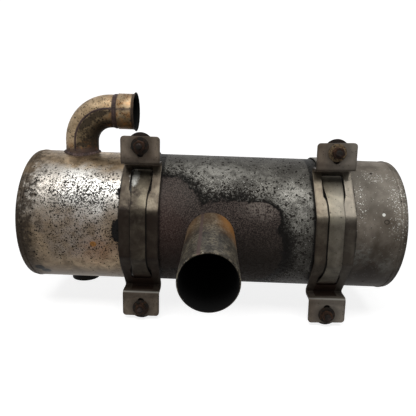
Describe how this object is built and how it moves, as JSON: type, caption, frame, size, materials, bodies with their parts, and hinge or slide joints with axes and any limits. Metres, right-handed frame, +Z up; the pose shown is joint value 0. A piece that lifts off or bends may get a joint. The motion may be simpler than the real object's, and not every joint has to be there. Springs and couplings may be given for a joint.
{
  "type": "exhaust muffler",
  "caption": "Round drum muffler with an elbow inlet, a straight outlet stub and two strap-on saddle brackets.",
  "frame": {"origin": "on the drum's axis, where the axis of the outlet stub crosses it, half way along the drum", "axes": "+X along the drum, away from the elbow's end; -Y out of the outlet stub; +Z up, along the inlet's leg"},
  "size_m": [0.492, 0.3239, 0.2979],
  "materials": {
    "drum_steel": "weathered rolled steel with soot and pits",
    "pipe_steel": "heat-tinted tube steel",
    "weld_metal": "rough weld metal, discoloured",
    "boss_steel": "blackened steel",
    "clamp_steel": "dull plated strip steel",
    "rusted_steel": "rusted fastener steel"
  },
  "bodies": {
    "root": {"shell": "drum_steel", "end_cap_left": "drum_steel", "end_cap_right": "drum_steel", "baffle_left": "drum_steel", "baffle_right": "drum_steel", "transfer_tube": "drum_steel", "return_tube": "drum_steel", "outlet_pipe": "pipe_steel", "inlet_elbow_outer_half": "pipe_steel", "inlet_elbow_inner_half": "pipe_steel", "inlet_collar": "pipe_steel", "shell_seam_weld": "weld_metal", "end_weld_left": "weld_metal", "end_weld_right": "weld_metal", "outlet_weld": "weld_metal", "inlet_base_weld": "weld_metal", "collar_weld": "weld_metal", "elbow_seam_weld_front": "weld_metal", "elbow_seam_weld_back": "weld_metal", "drain_boss": "boss_steel", "drain_plug": "boss_steel", "saddle_left": "clamp_steel", "saddle_right": "clamp_steel", "band_left": "clamp_steel", "band_right": "clamp_steel", "clamp_bolts": "rusted_steel", "clamp_nuts": "rusted_steel", "clamp_washers": "rusted_steel", "backing_washers": "rusted_steel"}
  },
  "joints": []
}
